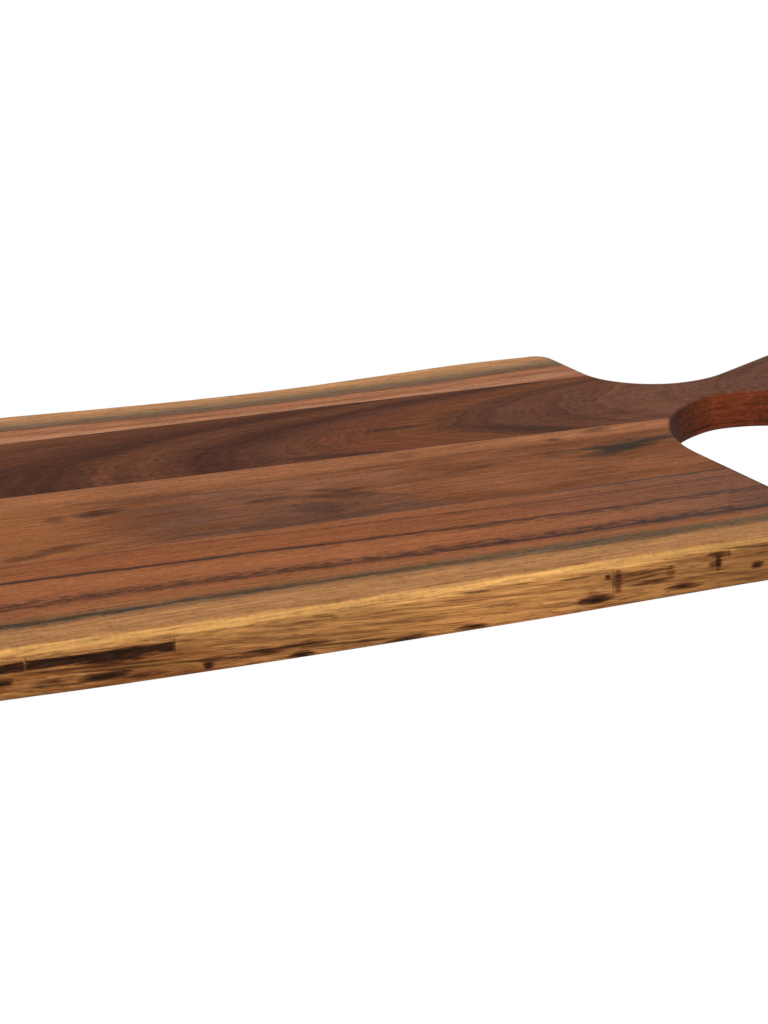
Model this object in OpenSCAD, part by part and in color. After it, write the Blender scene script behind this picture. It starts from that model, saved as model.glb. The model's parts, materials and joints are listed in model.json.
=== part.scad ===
// Paddle serving board, edge-glued from hardwood staves, with two live edges
// and a handle that flares from a narrow neck into a ring.
// Millimetres, +Z up. The origin is the middle of the footprint, on the
// underside. +X runs along the grain towards the ring, +Y towards the far
// live edge. Each stave is the part of one shaped blank that lies between
// its two glue lines, as when a glued panel is sawn to its outline.

/* [Body] */
// Thickness of the glued panel
thickness = 19; // [14:0.5:28]
// Length of the body, from the square end to the near shoulder
body_len = 362; // [280:1:460]
// Width of the body over both live edges
body_w = 310; // [290:1:340]
// How much further along the far shoulder lies than the near one
shoulder_step = 25; // [0:1:34]
// Radius of the body's four corners, seen from above
corner_r = 11; // [6:0.5:18]

/* [Live edges] */
// Depth of the deepest hollow of the far live edge
far_wane = 9; // [0:0.5:14]
// Depth of the deepest hollow of the near live edge
near_wane = 7; // [0:0.5:14]
// Radius that rounds the top of both live edges
live_round = 6; // [3:0.5:8]

/* [Sawn edges] */
// Radius on the top of the sawn edges
top_ease = 2.5; // [1:0.25:4]
// Radius under every edge
under_ease = 2; // [1:0.25:4]

/* [Handle] */
// Length of the handle, from the near shoulder to the tip of the ring
handle_len = 220; // [200:1:260]
// Width of the neck at its narrowest
neck_w = 27; // [20:0.5:36]
// Radius of the fillet between the far shoulder and the neck
far_fillet_r = 34; // [24:1:42]
// Distance along from the near shoulder to the narrowest place of its curve
near_neck_run = 68; // [58:1:84]
// Radius of the long sweep that leaves the near shoulder
near_sweep_r = 89; // [86:1:112]
// Radius that carries the sweep on into the neck
near_turn_r = 30; // [24:1:54]
// Radius of the two curves that open the neck towards the ring
flare_r = 56; // [40:1:64]
// Outer diameter of the ring
ring_d = 110; // [92:1:118]
// Diameter of the finger hole in the ring
hole_d = 46; // [32:1:56]
// Radius on both rims of the finger hole
hole_ease = 2.5; // [1:0.25:4]

/* [Staves] */
// Width of the middle stave at the near shoulder
middle_stave_w = 81; // [74:0.5:88]
// Width there of the dark stave that also makes the handle
heart_stave_w = 86; // [80:0.5:92]
// The two live-edge staves share the rest of the body's width in proportion
// to their own widths
near_stave_w = 90.5; // [80:0.5:96]
far_stave_w = 52.5; // [44:0.5:60]
// How far the near glue line drifts over the body's length
near_joint_drift = 4.5; // [-6:0.5:6]
// How far the middle glue line drifts over the body's length
middle_joint_drift = 9; // [0:0.5:12]
// How far the far glue line drifts over the body's length
far_joint_drift = 2; // [-4:0.5:6]
// Thickness of a cured glue line
glue_t = 0.2; // [0.1:0.05:0.4]

/* [Hidden] */

// Longest chord and widest angle that one facet of the outline spans
chord = 5;
chord_angle = 9;
// Facets across the rounding of an edge
round_steps = 4;
// Points along one live edge
live_steps = 48;
// Facets round the finger hole
hole_steps = 96;
// Every cut runs past the wood by this much
overrun = 5;
// Points of the outline closer together than this are one point
weld = 0.05;

// Hollows of the live edges at even places from the square end to the
// shoulder: 0 is the full width, 1 the full wane
far_wane_shares = [0.27, 0.09, 0.20, 0.68, 0.98, 0.96, 0.53, 0.03, 0.10];
near_wane_shares = [0.91, 0.51, 0.26, 0.10, 0.03, 0.00, 0.12, 0.20, 0.12];
// Most of the room between neck and ring that a flare may take up
flare_share = 0.92;

// Places along the board
end_x = -(body_len + handle_len) / 2;
near_shoulder_x = end_x + body_len;
far_shoulder_x = near_shoulder_x + shoulder_step;
far_neck_x = far_shoulder_x + far_fillet_r;
near_neck_x = near_shoulder_x + near_neck_run;
ring_r = ring_d / 2;
ring_x = near_shoulder_x + handle_len - ring_r;
// The cheeks of the ring start where the neck ends
cheek_x = (near_neck_x + ring_x) / 2;

// Glue lines at the near shoulder, counted up from the near edge
live_fit = (body_w - middle_stave_w - heart_stave_w) / (near_stave_w + far_stave_w);
near_joint_y = near_stave_w * live_fit - body_w / 2;
middle_joint_y = near_joint_y + middle_stave_w;
far_joint_y = middle_joint_y + heart_stave_w;
// The handle is centred on the dark stave
handle_y = middle_joint_y + heart_stave_w / 2;
far_neck_y = handle_y + neck_w / 2;
near_neck_y = handle_y - neck_w / 2;

// Smooth curve through even steps of a table, read at a share of its length
function knot(t, i) = t[max(0, min(len(t) - 1, i))];
function smooth(a, b, c, d, u) =
    b + u * (c - a) / 2 + u * u * (a - 2.5 * b + 2 * c - d / 2)
    + u * u * u * (1.5 * (b - c) + (d - a) / 2);
function read(t, s) =
    let (p = s * (len(t) - 1), i = min(floor(p), len(t) - 2))
    smooth(knot(t, i - 1), knot(t, i), knot(t, i + 1), knot(t, i + 2), p - i);

// Largest radius that still leaves a straight run between a flare and the ring
function flare_room(run) =
    (run * run + pow(neck_w / 2, 2) - ring_r * ring_r) / (ring_d - neck_w);
far_flare_r = min(flare_r, flare_share * flare_room(ring_x - far_neck_x));
near_flare_r = min(flare_r, flare_share * flare_room(ring_x - near_neck_x));
// Angle of the common tangent between a flare and the ring
function flare_angle(run, r) =
    let (rise = neck_w / 2 + r)
    asin((r + ring_r) / norm([run, rise])) - atan2(rise, run);
far_flare_angle = flare_angle(ring_x - far_neck_x, far_flare_r);
near_flare_angle = flare_angle(ring_x - near_neck_x, near_flare_r);
// Angle at which the near sweep hands over to the tighter turn
turn_angle = asin((near_sweep_r - near_neck_run) / (near_sweep_r - near_turn_r));
near_sweep_y = near_neck_y - near_turn_r
             - (near_sweep_r - near_turn_r) * cos(turn_angle);

// An outline point is its place, its outward normal, how much of the live
// edge's rounding it has, and the way that it slides when an edge is eased
function arc(centre, r, from, to, out = 1, live = [0, 0]) =
    let (n = ceil(max(abs(to - from) / chord_angle,
                      abs(to - from) * PI / 180 * r / chord)))
    [for (i = [0 : n])
        let (a = from + (to - from) * i / n, normal = out * [cos(a), sin(a)])
        [centre + r * out * normal, normal, live[0] + (live[1] - live[0]) * i / n,
         normal]];

// Half the width that is left at a share of the way along a live edge
function far_reach(s) = body_w / 2 - far_wane * read(far_wane_shares, s);
function near_reach(s) = body_w / 2 - near_wane * read(near_wane_shares, s);
far_len = far_shoulder_x - end_x;
far_corner_share = corner_r / far_len;
near_corner_share = corner_r / body_len;

function live_point(x, y, slope, side) =
    let (normal = [-slope, side] / norm([slope, side]))
    [[x, side * y], normal, 1, normal];
near_live = [
    for (i = [1 : live_steps - 1])
        let (s = near_corner_share + (1 - 2 * near_corner_share) * i / live_steps,
             ds = near_corner_share / 2,
             slope = (near_reach(s + ds) - near_reach(s - ds)) / (2 * ds * body_len))
        live_point(end_x + s * body_len, near_reach(s), slope, -1)];
far_live = [
    for (i = [live_steps - 1 : -1 : 1])
        let (s = far_corner_share + (1 - 2 * far_corner_share) * i / live_steps,
             ds = far_corner_share / 2,
             slope = (far_reach(s + ds) - far_reach(s - ds)) / (2 * ds * far_len))
        live_point(end_x + s * far_len, far_reach(s), slope, 1)];

outline = concat(
    near_live,
    arc([near_shoulder_x - corner_r, corner_r - near_reach(1 - near_corner_share)],
        corner_r, 270, 360, live = [1, 0]),
    arc([near_shoulder_x + near_sweep_r, near_sweep_y],
        near_sweep_r, 180, 90 + turn_angle, out = -1),
    arc([near_neck_x, near_neck_y - near_turn_r],
        near_turn_r, 90 + turn_angle, 90, out = -1),
    arc([near_neck_x, near_neck_y - near_flare_r],
        near_flare_r, 90, 90 - near_flare_angle, out = -1),
    arc([ring_x, handle_y], ring_r, -90 - near_flare_angle, 90 + far_flare_angle),
    arc([far_neck_x, far_neck_y + far_flare_r],
        far_flare_r, 270 + far_flare_angle, 270, out = -1),
    arc([far_neck_x, far_neck_y + far_fillet_r], far_fillet_r, 270, 180, out = -1),
    arc([far_shoulder_x - corner_r, far_reach(1 - far_corner_share) - corner_r],
        corner_r, 0, 90, live = [0, 1]),
    far_live,
    arc([end_x + corner_r, far_reach(far_corner_share) - corner_r],
        corner_r, 90, 180, live = [1, 0]),
    arc([end_x + corner_r, corner_r - near_reach(near_corner_share)],
        corner_r, 180, 270, live = [0, 1]));

// Arcs that meet share a point, which is kept once
function next(i) = outline[(i + 1) % len(outline)];
rim = [for (i = [0 : len(outline) - 1])
    if (norm(outline[i][0] - next(i)[0]) > weld) outline[i]];

// Where a glue line, given by its height at the near shoulder and its drift,
// lies at a place along the board
function height(line, x) =
    line[0] + line[1] * (near_shoulder_x - x) / body_len;
near_line = [near_joint_y, near_joint_drift];
middle_line = [middle_joint_y, middle_joint_drift];
far_line = [far_joint_y, far_joint_drift];
film = [glue_t / 2, 0];

// Radius on the top edge at an outline point
function top_round(p) = top_ease + p[2] * (live_round - top_ease);

// The point where a line crosses the rim between p and q. It slides along
// the line, so that the sawn face stays flat where the edge is eased
function crossing(p, q, s, line) =
    let (dir = [body_len, -line[1]] / norm([body_len, line[1]]),
         normal = p[1] + s * (q[1] - p[1]))
    [p[0] + s * (q[0] - p[0]), normal, p[2] + s * (q[2] - p[2]),
     dir / (normal * dir)];

// Keeps the points on one side of a line, 1 for above it and -1 for below,
// as long as they stay there when the edge is eased
function clearance(p, inset, line, side) =
    let (xy = p[0] - p[3] * inset)
    side * (xy.y - height(line, xy.x));
function cut(points, line, side) = [
    for (i = [0 : len(points) - 1])
        let (p = points[i], q = points[(i + 1) % len(points)],
             a = clearance(p, 0, line, side), b = clearance(q, 0, line, side),
             eased = clearance(p, top_round(p), line, side))
        each concat(a > 0 && eased > 0 ? [p] : [],
                    (a > 0) != (b > 0) ? [crossing(p, q, a / (a - b), line)] : [])];
function between(low, high) = cut(cut(rim, low, 1), high, -1);

// A cut outline falls apart into what belongs to the body and to the ring
function body_part(points) = [for (p = points) if (p[0].x < cheek_x) p];
function ring_part(points) = [for (p = points) if (p[0].x > cheek_x) p];

// An outline point at one level of the eased edge, under and then on top
function under_point(p, a) =
    let (xy = p[0] - p[3] * under_ease * (1 - sin(a)))
    [xy.x, xy.y, under_ease * (1 - cos(a))];
function top_point(p, a) =
    let (xy = p[0] - p[3] * top_round(p) * (1 - cos(a)))
    [xy.x, xy.y, thickness - top_round(p) * (1 - sin(a))];

// Triangles that fill a flat outline, counted round to the left: an ear is a
// corner whose triangle holds no other point, and is taken off first
function turn(a, b, c) = cross(b - a, c - a);
function holds(a, b, c, p) = turn(a, b, p) >= 0 && turn(b, c, p) >= 0 && turn(c, a, p) >= 0;
function corner(ids, k) =
    let (n = len(ids)) [ids[(k + n - 1) % n], ids[k], ids[(k + 1) % n]];
function is_ear(flat, ids, t) =
    turn(flat[t[0]], flat[t[1]], flat[t[2]]) > 0
    && len([for (j = ids)
        if (j != t[0] && j != t[1] && j != t[2]
            && holds(flat[t[0]], flat[t[1]], flat[t[2]], flat[j])) j]) == 0;
function first_ear(flat, ids, k = 0) =
    k == len(ids) - 1 || is_ear(flat, ids, corner(ids, k)) ? k : first_ear(flat, ids, k + 1);
function fill(flat, ids) =
    len(ids) == 3 ? [ids] :
    let (k = first_ear(flat, ids))
    concat([corner(ids, k)], fill(flat, [for (i = [0 : len(ids) - 1]) if (i != k) ids[i]]));

// Wood inside an outline, with its outer edges eased above and below
module wood(outline_points) {
    n = len(outline_points);
    levels = 2 * round_steps + 2;
    step = 90 / round_steps;
    points = [
        for (k = [0 : round_steps]) for (p = outline_points) under_point(p, k * step),
        for (k = [0 : round_steps]) for (p = outline_points) top_point(p, k * step)];
    sides = [
        for (k = [0 : levels - 2]) for (i = [0 : n - 1])
            let (j = (i + 1) % n, low = k * n, high = low + n)
            each [[low + i, high + i, high + j], [low + i, high + j, low + j]]];
    flat = [for (p = points) [p.x, p.y]];
    under_faces = fill(flat, [for (i = [0 : n - 1]) i]);
    top_faces = fill(flat, [for (i = [0 : n - 1]) (levels - 1) * n + i]);
    polyhedron(points, concat(sides, under_faces, [for (t = top_faces) [t[2], t[1], t[0]]]),
               convexity = 6);
}

// Through hole with rounded rims, at the centre of the ring
module finger_hole() {
    hole_r = hole_d / 2;
    translate([ring_x, handle_y, 0]) {
        translate([0, 0, -overrun])
            cylinder(h = thickness + 2 * overrun, r = hole_r, $fn = hole_steps);
        rim_cutter(hole_r);
        translate([0, 0, thickness])
            mirror([0, 0, 1])
                rim_cutter(hole_r);
    }
}

// Rounds the lower rim of a hole
module rim_cutter(hole_r) {
    rotate_extrude($fn = hole_steps)
        difference() {
            translate([hole_r - hole_ease, -hole_ease])
                square([2 * hole_ease, 2 * hole_ease]);
            translate([hole_r + hole_ease, hole_ease])
                circle(hole_ease, $fn = hole_steps / 2);
        }
}

// Far stave: tan sapwood on the live edge, reddish heartwood inside
module far_stave() {
    color("#b07a4c")
        wood(body_part(cut(rim, far_line + film, 1)));
}

// Dark stave that runs on through the neck and the ring
module heart_stave() {
    color("#5d3a2c")
        difference() {
            wood(between(middle_line + film, far_line - film));
            finger_hole();
        }
}

// Middle stave, which the near sweep cuts into
module middle_stave() {
    color("#8f5a3a")
        wood(body_part(between(near_line + film, middle_line - film)));
}

// Near stave: striped red heartwood, then sapwood out to the live edge
module near_stave() {
    color("#a8683c")
        wood(cut(rim, near_line - film, -1));
}

// The far side of the ring, sawn from the same stave as the far side
module far_ring_cheek() {
    color("#9a6a48")
        wood(ring_part(cut(rim, far_line + film, 1)));
}

// The near side of the ring, sawn from the same stave as the middle
module near_ring_cheek() {
    color("#8f5a3a")
        wood(ring_part(cut(rim, middle_line - film, -1)));
}

// Cured glue between two staves, over the body and, where the ring is wider
// than the dark stave, on in the ring
module glue(line) {
    strip = between(line - film, line + film);
    color("#3a2419") {
        wood(body_part(strip));
        if (len(ring_part(strip)) > 0)
            wood(ring_part(strip));
    }
}

module far_glue_line() {
    glue(far_line);
}

module middle_glue_line() {
    glue(middle_line);
}

module near_glue_line() {
    glue(near_line);
}

far_stave();
heart_stave();
middle_stave();
near_stave();
far_ring_cheek();
near_ring_cheek();
far_glue_line();
middle_glue_line();
near_glue_line();
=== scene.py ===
# %% [markdown]
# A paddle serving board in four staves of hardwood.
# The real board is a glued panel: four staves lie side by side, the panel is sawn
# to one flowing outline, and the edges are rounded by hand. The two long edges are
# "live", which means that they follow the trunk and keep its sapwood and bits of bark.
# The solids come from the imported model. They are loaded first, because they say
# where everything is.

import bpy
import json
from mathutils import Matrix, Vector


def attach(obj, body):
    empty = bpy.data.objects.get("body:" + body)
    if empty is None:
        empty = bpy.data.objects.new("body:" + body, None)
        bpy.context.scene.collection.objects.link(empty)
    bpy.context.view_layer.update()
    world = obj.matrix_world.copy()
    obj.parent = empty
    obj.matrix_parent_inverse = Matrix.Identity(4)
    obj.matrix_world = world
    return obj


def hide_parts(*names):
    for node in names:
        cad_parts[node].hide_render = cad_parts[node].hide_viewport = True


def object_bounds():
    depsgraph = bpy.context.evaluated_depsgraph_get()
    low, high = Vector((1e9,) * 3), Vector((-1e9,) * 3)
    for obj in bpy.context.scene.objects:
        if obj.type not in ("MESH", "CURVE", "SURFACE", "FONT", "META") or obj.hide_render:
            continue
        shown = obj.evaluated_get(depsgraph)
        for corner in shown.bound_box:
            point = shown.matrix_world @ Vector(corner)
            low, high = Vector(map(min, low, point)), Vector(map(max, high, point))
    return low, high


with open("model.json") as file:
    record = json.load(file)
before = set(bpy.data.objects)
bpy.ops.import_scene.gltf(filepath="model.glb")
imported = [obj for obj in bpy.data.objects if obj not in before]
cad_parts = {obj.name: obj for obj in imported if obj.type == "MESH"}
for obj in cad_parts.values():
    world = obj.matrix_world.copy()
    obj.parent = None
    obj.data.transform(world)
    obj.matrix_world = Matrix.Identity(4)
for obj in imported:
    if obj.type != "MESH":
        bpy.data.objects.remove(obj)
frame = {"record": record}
cad_low, cad_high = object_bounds()
print("solid board from", tuple(cad_low), "to", tuple(cad_high))

# %% Blender's own modules
import json
import math

import bmesh
import bpy
from mathutils import Vector, noise

# %% [markdown]
# The camera comes first, so that every later choice can be seen as the photographer
# saw it. It stands before the near live edge, turned 25 degrees towards the handle
# and tipped down by about 17 degrees. A long lens keeps the far edge nearly as large
# as the near one, as in the photograph.

# %% Camera
camera_place = (-0.49203, -0.91469, 0.316)
camera_down = 17.478
camera_turn = -25.0
camera_lens = 85.08
camera_data = bpy.data.cameras.new("photographer")
camera_data.lens = camera_lens
camera_data.sensor_width = 36
camera_data.clip_start = 0.05
camera = bpy.data.objects.new("photographer", camera_data)
camera.location = camera_place
camera.rotation_euler = (math.radians(90 - camera_down), 0, math.radians(camera_turn))
bpy.context.scene.collection.objects.link(camera)
bpy.context.scene.camera = camera
print("lens", camera_lens, "mm at", camera_place)

# %% [markdown]
# The sizes of the board. The length and the thickness are read from the loaded
# solids, and the finger hole from the record of its mount. The rest are the maker's
# own measures, in metres, and the same ones that shape the solids.

# %% Sizes of the board
mm = 0.001
thickness = cad_high.z - cad_low.z
end_x = cad_low.x
tip_x = cad_high.x
body_len = 362 * mm
body_w = 310 * mm
shoulder_step = 25 * mm
corner_r = 11 * mm
far_wane = 9 * mm
near_wane = 7 * mm
live_round = 6 * mm
top_ease = 2.5 * mm
under_ease = 2 * mm
neck_w = 27 * mm
far_fillet_r = 34 * mm
near_neck_run = 68 * mm
near_sweep_r = 89 * mm
near_turn_r = 30 * mm
flare_r = 56 * mm
ring_r = 55 * mm
hole_ease = 2.5 * mm
print(f"board {tip_x - end_x:.3f} m long and {thickness:.3f} m thick")

# %% Places along and across the board
near_shoulder_x = end_x + body_len
far_shoulder_x = near_shoulder_x + shoulder_step
near_neck_x = near_shoulder_x + near_neck_run
far_neck_x = far_shoulder_x + far_fillet_r
ring_x = tip_x - ring_r
near_joint_y = -64.5 * mm
middle_joint_y = 16.5 * mm
far_joint_y = 102.5 * mm
handle_y = (middle_joint_y + far_joint_y) / 2
near_neck_y = handle_y - neck_w / 2
far_neck_y = handle_y + neck_w / 2
print("ring centre", round(ring_x, 4), round(handle_y, 4))

# %% Finger hole, from its mount
hole_mount = next(m for m in frame["record"]["mounts"] if m["name"] == "finger_hole")
hole_r = hole_mount["dims"]["r_mm"] * mm
print("finger hole of radius", hole_r, "at", hole_mount["pos_m"])

# %% [markdown]
# How far the live edges bulge and hollow. On the real board this is the trunk's own
# surface. It could be drawn with a curve object, but one smooth curve through nine
# listed hollows is shorter and can be read anywhere along the edge.

# %% Hollows of the live edges
far_wane_shares = [0.27, 0.09, 0.20, 0.68, 0.98, 0.96, 0.53, 0.03, 0.10]
near_wane_shares = [0.91, 0.51, 0.26, 0.10, 0.03, 0.00, 0.12, 0.20, 0.12]


def hollow_at(shares, along):
    """The hollow at a share of the way along, on a smooth curve through the list."""
    place = along * (len(shares) - 1)
    i = min(int(place), len(shares) - 2)
    u = place - i
    a, b, c, d = (shares[max(0, min(len(shares) - 1, k))] for k in (i - 1, i, i + 1, i + 2))
    rise = u * (c - a) / 2
    bend = u * u * (a - 2.5 * b + 2 * c - d / 2)
    twist = u * u * u * (1.5 * (b - c) + (d - a) / 2)
    return b + rise + bend + twist


def far_reach(x):
    """How far out the far live edge lies at a place along the board."""
    return body_w / 2 - far_wane * hollow_at(far_wane_shares, (x - end_x) / (body_len + shoulder_step))


def near_reach(x):
    """How far out the near live edge lies at a place along the board."""
    return body_w / 2 - near_wane * hollow_at(near_wane_shares, (x - end_x) / body_len)


print("near edge bulges to", round(near_reach(end_x + body_len * 0.6), 4))

# %% [markdown]
# The handle widens from its neck into the ring along a curve and a straight run. The
# run touches both the curve and the ring, so its slope follows from their radii, as
# for a belt over two pulleys.

# %% Slopes where the neck opens into the ring
def flare_slope(run):
    """Angle of the common tangent of the flare and the ring."""
    rise = neck_w / 2 + flare_r
    return math.asin((flare_r + ring_r) / math.hypot(run, rise)) - math.atan2(rise, run)


near_flare = flare_slope(ring_x - near_neck_x)
far_flare = flare_slope(ring_x - far_neck_x)
turn_over = math.asin((near_sweep_r - near_neck_run) / (near_sweep_r - near_turn_r))
near_sweep_y = near_neck_y - near_turn_r - (near_sweep_r - near_turn_r) * math.cos(turn_over)
print("flares open at", round(math.degrees(near_flare)), "and", round(math.degrees(far_flare)))

# %% [markdown]
# The outline is drawn as with a pencil and a compass: one vertex is dragged along
# straight runs and spun round centres. Extruding a vertex gives a run, and spinning
# it gives an arc, so each curve of the real board has its own radius. A curve object
# would do too, but its handles would not hold a true radius.

# %% A pencil and a compass
arc_pitch = 1.5 * mm
live_pitch = 0.8 * mm


def run_to(bm, pencil, x, y):
    """Drags the pencil in a straight line, and gives its new vertex."""
    made = bmesh.ops.extrude_vert_indiv(bm, verts=[pencil])["verts"][0]
    made.co = (x, y, 0)
    return made


def swing(bm, pencil, cx, cy, turn):
    """Swings the pencil round a centre by an angle, to the left when it is positive."""
    radius = math.hypot(pencil.co.x - cx, pencil.co.y - cy)
    steps = max(4, math.ceil(abs(turn) * radius / arc_pitch))
    made = bmesh.ops.spin(
        bm, geom=[pencil], cent=(cx, cy, 0), axis=(0, 0, 1), angle=turn,
        steps=steps, use_merge=False, use_duplicate=False)
    return next(g for g in made["geom_last"] if isinstance(g, bmesh.types.BMVert))


def live_run_to(bm, pencil, x, reach, side):
    """Follows a live edge in short runs, so that its hollows come out smooth."""
    from_x = pencil.co.x
    steps = math.ceil(abs(x - from_x) / live_pitch)
    for k in range(1, steps + 1):
        step_x = from_x + (x - from_x) * k / steps
        pencil = run_to(bm, pencil, step_x, side * reach(step_x))
    return pencil


# %% The outline of the whole board
def draw_outline(bm):
    """Draws the outline once round to the left, from the near live edge."""
    quarter = math.pi / 2
    corner_x = near_shoulder_x - corner_r
    start_x = end_x + corner_r
    start = Vector((start_x, -near_reach(start_x), 0))
    pencil = bm.verts.new(start)
    pencil = live_run_to(bm, pencil, corner_x, near_reach, -1)
    pencil = swing(bm, pencil, corner_x, corner_r - near_reach(corner_x), quarter)
    pencil = run_to(bm, pencil, near_shoulder_x, near_sweep_y)
    pencil = swing(bm, pencil, near_shoulder_x + near_sweep_r, near_sweep_y, turn_over - quarter)
    pencil = swing(bm, pencil, near_neck_x, near_neck_y - near_turn_r, -turn_over)
    pencil = swing(bm, pencil, near_neck_x, near_neck_y - flare_r, -near_flare)
    pencil = run_to(bm, pencil, ring_x - ring_r * math.sin(near_flare),
                    handle_y - ring_r * math.cos(near_flare))
    pencil = swing(bm, pencil, ring_x, handle_y, math.pi + near_flare + far_flare)
    pencil = run_to(bm, pencil, far_neck_x + flare_r * math.sin(far_flare),
                    far_neck_y + flare_r - flare_r * math.cos(far_flare))
    pencil = swing(bm, pencil, far_neck_x, far_neck_y + flare_r, -far_flare)
    pencil = swing(bm, pencil, far_neck_x, far_neck_y + far_fillet_r, -quarter)
    corner_x = far_shoulder_x - corner_r
    pencil = run_to(bm, pencil, far_shoulder_x, far_reach(corner_x) - corner_r)
    pencil = swing(bm, pencil, corner_x, far_reach(corner_x) - corner_r, quarter)
    pencil = live_run_to(bm, pencil, start_x, far_reach, 1)
    pencil = swing(bm, pencil, start_x, far_reach(start_x) - corner_r, quarter)
    pencil = run_to(bm, pencil, end_x, corner_r - near_reach(start_x))
    swing(bm, pencil, start_x, corner_r - near_reach(start_x), quarter)
    bmesh.ops.remove_doubles(bm, verts=bm.verts[:], dist=arc_pitch / 100)
    return next(v for v in bm.verts if (v.co - start).length < arc_pitch / 50)


# %% Walk once round the outline
def walk_round(first, second):
    """The vertices of a closed loop in order, from the first through the second."""
    path = [first, second]
    while True:
        ahead = next(e.other_vert(path[-1]) for e in path[-1].link_edges
                     if e.other_vert(path[-1]) is not path[-2])
        if ahead is first:
            return path
        path.append(ahead)


def outward(path, i):
    """The direction out of the wood at one vertex of a loop that runs to the left."""
    along = path[(i + 1) % len(path)].co - path[i - 1].co
    return Vector((along.y, -along.x, 0)).normalized()


# %% [markdown]
# The flaws of the near live edge: two strips of bark that stayed on the trunk's
# skin, knots, a split with old worm work beside it, and small dark scars. Each is a
# soft-edged patch with a place along the edge and a height over the underside, and a
# depth where the wood has really gone. The patches could be painted on a picture, but
# one measure for each point of the wall can shape the mesh and also tell the
# material where to turn dark.

# %% Flaws of the near live edge, in millimetres
# left, right, low, high, depth, darkness, and "straight" for a strip
near_flaws = {
    "long bark strip": (-272.3, -218.8, 10.4, 13.8, 0.55, 1, "straight"),
    "bulge of the bark": (-254, -226, 8.9, 14.1, 0.50, 1),
    "short bark strip": (-289, -273, 10.4, 13.7, 0.45, 1, "straight"),
    "scar by the end": (-283.5, -277.8, 5.6, 8.6, 0.30, 1),
    "slanting scar": (-268, -258.5, 4.5, 5.9, 0.20, 0.75),
    "bark leaf": (-252.5, -235.5, 2.9, 5.9, 0.40, 1),
    "tail of the leaf": (-238, -223.5, 2.3, 4.1, 0.30, 0.8),
    "upright scar": (-208, -204.2, 1, 4.8, 0.20, 0.8),
    "bar of the scar": (-210, -202.5, 4.2, 5.4, 0.15, 0.9),
    "dark streak": (-196, -179, 3.5, 4.7, 0.20, 0.85),
    "spot on the streak": (-191.5, -178.5, 3.7, 6, 0.25, 0.95),
    "foot of the spot": (-186, -180.5, 3, 6.6, 0.15, 0.6),
    "lens": (-178.5, -162, 4.5, 6.3, 0.30, 1),
    "low patch": (-174.5, -165.5, 0.2, 2.8, 0.25, 0.95),
    "low brown patch": (-134.5, -120.5, 0.4, 2.5, 0.15, 0.95),
    "low dark patch": (-105.8, -96, 0.7, 2.6, 0.25, 1),
    "dark oval": (-54.6, -41.4, 3.3, 6.2, 0.40, 1),
    "knothole": (-43.3, -41.7, 11.9, 13.7, 0.60, 1),
    "worm work": (-40.2, -35.6, 6.3, 14.8, 0.20, 0.58),
    "upper streak": (-37.5, -17, 11.3, 13.5, 0.20, 0.60),
    "lower streak": (-28.5, -15.3, 7.3, 8.7, 0.25, 0.95),
    "right end of the work": (-16.5, -11.5, 8.5, 13.8, 0.15, 0.38),
    "second oval": (-13.6, -2.2, 2.9, 4.7, 0.35, 1),
    "bar of the cross": (3.8, 12.8, 13.3, 15.4, 0.30, 0.9),
    "post of the cross": (6.6, 9.4, 8.9, 14.4, 0.25, 0.9),
    "arm of the cross": (3.4, 7.6, 9.4, 11.8, 0.15, 0.65),
    "red spot": (23.8, 29, 6.5, 9, 0.30, 1),
}
oval_softness = 2.0
strip_softness = 1.2


def patch_strength(patch, x, z):
    """1 well inside a patch, a half at its border and 0 outside."""
    left, right, low, high, _, darkness, *straight = patch
    run, rise = (right - left) / 2, (high - low) / 2
    across, up = abs(x - left - run), abs(z - low - rise)
    if straight:
        inside = min(run - across, rise - up) / strip_softness
    else:
        inside = (1 - math.hypot(across / run, up / rise)) * min(run, rise) / oval_softness
    return darkness * max(0.0, min(1.0, 0.5 + inside))


def flaw_at(x, z):
    """The strongest flaw at a point of the near wall, and how deep it is."""
    strengths = [(patch_strength(p, x / mm, z / mm), p[4] * mm) for p in near_flaws.values()]
    return max(strengths)


print(len(near_flaws), "flaws, the strongest at the middle of the bark:", flaw_at(-0.240, 0.012))

# %% [markdown]
# The wall is raised ring by ring from the outline. A bevel would give one radius all
# round, but on the real board the sawn edges are only eased while the live edges are
# rolled over, and the one grows into the other round each corner. So each new ring
# slides inwards by its own amount. A last narrow flat ring keeps the light on the
# roundings from bleeding into the flat faces.

# %% Heights and slides of the rings
round_steps = 8
under_steps = 4
wall_steps = 14
flat_band = 0.8 * mm


def ring_levels():
    """A list of (height share, slide share, part of the wall) from the underside up."""
    quarter = math.pi / 2
    under = [("under", k / under_steps * quarter) for k in range(under_steps + 1)]
    wall = [("wall", k / wall_steps) for k in range(1, wall_steps)]
    top = [("top", k / round_steps * quarter) for k in range(round_steps + 1)]
    return [("under flat", 0), *under, *wall, *top, ("top flat", quarter)]


def ring_point(spot, level):
    """Where one point of the outline lies on one ring."""
    place, out, top_r, under_r = spot
    part, turn = level
    low, high = under_r, thickness - top_r
    if part == "under flat":
        return place - out * (under_r + flat_band)
    if part == "under":
        return place - out * under_r * (1 - math.sin(turn)) + Vector((0, 0, low * (1 - math.cos(turn))))
    if part == "wall":
        return place + Vector((0, 0, low + (high - low) * turn))
    lifted = Vector((0, 0, high + top_r * math.sin(turn)))
    slide = top_r * (1 - math.cos(turn)) + (flat_band if part == "top flat" else 0)
    return place - out * slide + lifted


print(len(ring_levels()), "rings from the underside to the top")


# %% How round the top edge is at each point
def live_share(place, out):
    """1 on a live edge, 0 on a sawn one, and in between round the corners."""
    live_from = body_w / 2 - max(far_wane, near_wane) - corner_r
    if abs(place.y) < live_from:
        return 0.0
    return math.degrees(math.asin(min(1.0, abs(out.y)))) / 90


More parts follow.
